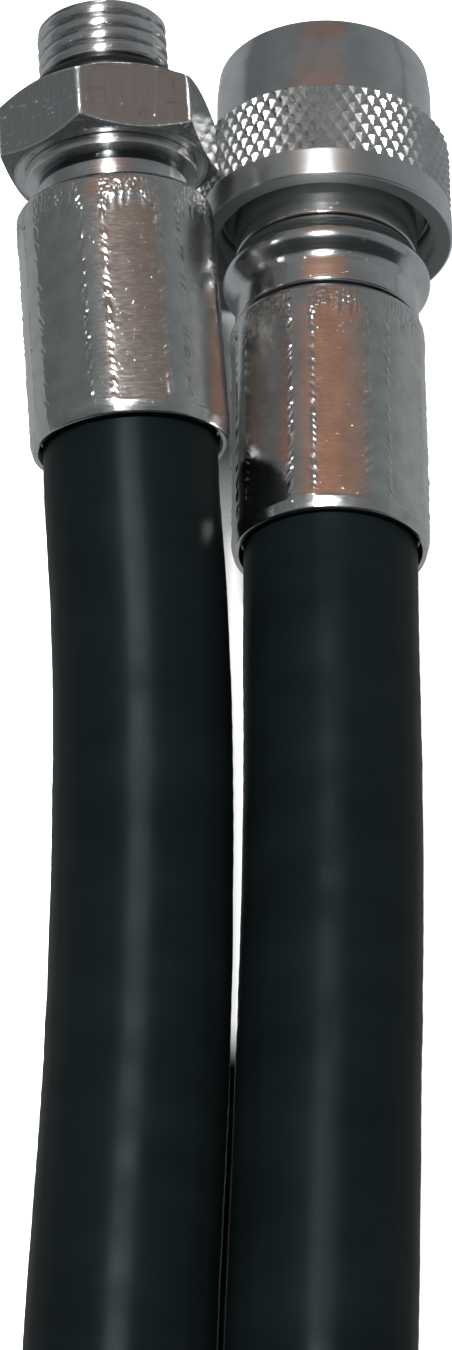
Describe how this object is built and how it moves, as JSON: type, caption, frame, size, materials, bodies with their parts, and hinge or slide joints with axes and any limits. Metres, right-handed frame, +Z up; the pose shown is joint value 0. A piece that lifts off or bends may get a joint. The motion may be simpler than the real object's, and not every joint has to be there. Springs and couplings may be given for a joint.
{
  "type": "pneumatic hose assembly",
  "caption": "Black rubber low-pressure air hose with a threaded, O-ring sealed port fitting on one end and a knurled quick coupling on the other, laid as one loop.",
  "frame": {"origin": "centre of the two fittings' box, on the ground that the hose lies on", "axes": "+Y along the fittings, out of their front ends; +X towards the quick coupling; +Z up"},
  "size_m": [0.1186, 0.2679, 0.0254],
  "materials": {
    "nickel": "bright nickel-chrome plating on turned brass, fine turning marks",
    "crimped_nickel": "bright plating, crimped, with scratched die edges",
    "brass": "plain turned brass",
    "spring_steel": "bright stainless spring steel",
    "hose_rubber": "black satin rubber cover",
    "seal_rubber": "black nitrile seal rubber",
    "liner_rubber": "dark matt inner tube rubber",
    "braid": "undyed textile reinforcement"
  },
  "bodies": {
    "root": {"lp_stem": "nickel", "qd_body": "nickel", "qd_tail": "nickel", "lp_ferrule": "crimped_nickel", "qd_ferrule": "crimped_nickel", "valve_core_body": "brass", "valve_spring": "spring_steel", "qd_retaining_ring": "spring_steel", "hose": "hose_rubber", "lp_hose_cover": "hose_rubber", "qd_hose_cover": "hose_rubber", "lp_port_oring": "seal_rubber", "qd_socket_oring": "seal_rubber", "qd_tail_oring": "seal_rubber", "valve_core_gasket": "seal_rubber", "lp_hose_liner": "liner_rubber", "qd_hose_liner": "liner_rubber", "lp_hose_braid": "braid", "qd_hose_braid": "braid"},
    "sleeve_carrier": {"qd_spring_washer": "spring_steel", "qd_sleeve_spring": "spring_steel"},
    "sleeve": {"qd_sleeve": "nickel"},
    "valve_pin": {"valve_pin": "brass", "valve_poppet_seal": "seal_rubber"},
    "ball_1": {"qd_ball_1": "spring_steel"},
    "ball_2": {"qd_ball_2": "spring_steel"},
    "ball_3": {"qd_ball_3": "spring_steel"},
    "ball_4": {"qd_ball_4": "spring_steel"},
    "ball_5": {"qd_ball_5": "spring_steel"},
    "ball_6": {"qd_ball_6": "spring_steel"}
  },
  "joints": [
    {"name": "sleeve_turn", "type": "hinge", "parent": "root", "child": "sleeve_carrier", "pos_m": [0.00726, 0.01047, 0.00956], "axis": [0, -0.9993, -0.0377], "continuous": true},
    {"name": "sleeve_slide", "type": "slide", "parent": "sleeve_carrier", "child": "sleeve", "axis": [0, -0.9993, -0.0377], "range_m": [0, 0.003], "stiffness_N_per_m": 1000, "springref_m": -0.005, "deforming": ["qd_sleeve_spring"]},
    {"name": "valve_pin_slide", "type": "slide", "parent": "root", "child": "valve_pin", "axis": [0, -0.9993, -0.0377], "range_m": [0, 0.0015], "stiffness_N_per_m": 800, "springref_m": -0.003, "deforming": ["valve_spring"]},
    {"name": "ball_1_slide", "type": "slide", "parent": "root", "child": "ball_1", "axis": [0.5, -0.0326, 0.8654], "range_m": [0, 0.00065]},
    {"name": "ball_2_slide", "type": "slide", "parent": "root", "child": "ball_2", "axis": [1, 0, 0], "range_m": [0, 0.00065]},
    {"name": "ball_3_slide", "type": "slide", "parent": "root", "child": "ball_3", "axis": [0.5, 0.0326, -0.8654], "range_m": [0, 0.00065]},
    {"name": "ball_4_slide", "type": "slide", "parent": "root", "child": "ball_4", "axis": [-0.5, 0.0326, -0.8654], "range_m": [0, 0.00065]},
    {"name": "ball_5_slide", "type": "slide", "parent": "root", "child": "ball_5", "axis": [-1, 0, 0], "range_m": [0, 0.00065]},
    {"name": "ball_6_slide", "type": "slide", "parent": "root", "child": "ball_6", "axis": [-0.5, -0.0326, 0.8654], "range_m": [0, 0.00065]}
  ],
  "couplings": [
    {"joint": "ball_1_slide", "follows": "sleeve_slide", "ratio": 0.2166},
    {"joint": "ball_2_slide", "follows": "sleeve_slide", "ratio": 0.2166},
    {"joint": "ball_3_slide", "follows": "sleeve_slide", "ratio": 0.2166},
    {"joint": "ball_4_slide", "follows": "sleeve_slide", "ratio": 0.2166},
    {"joint": "ball_5_slide", "follows": "sleeve_slide", "ratio": 0.2166},
    {"joint": "ball_6_slide", "follows": "sleeve_slide", "ratio": 0.2166}
  ]
}
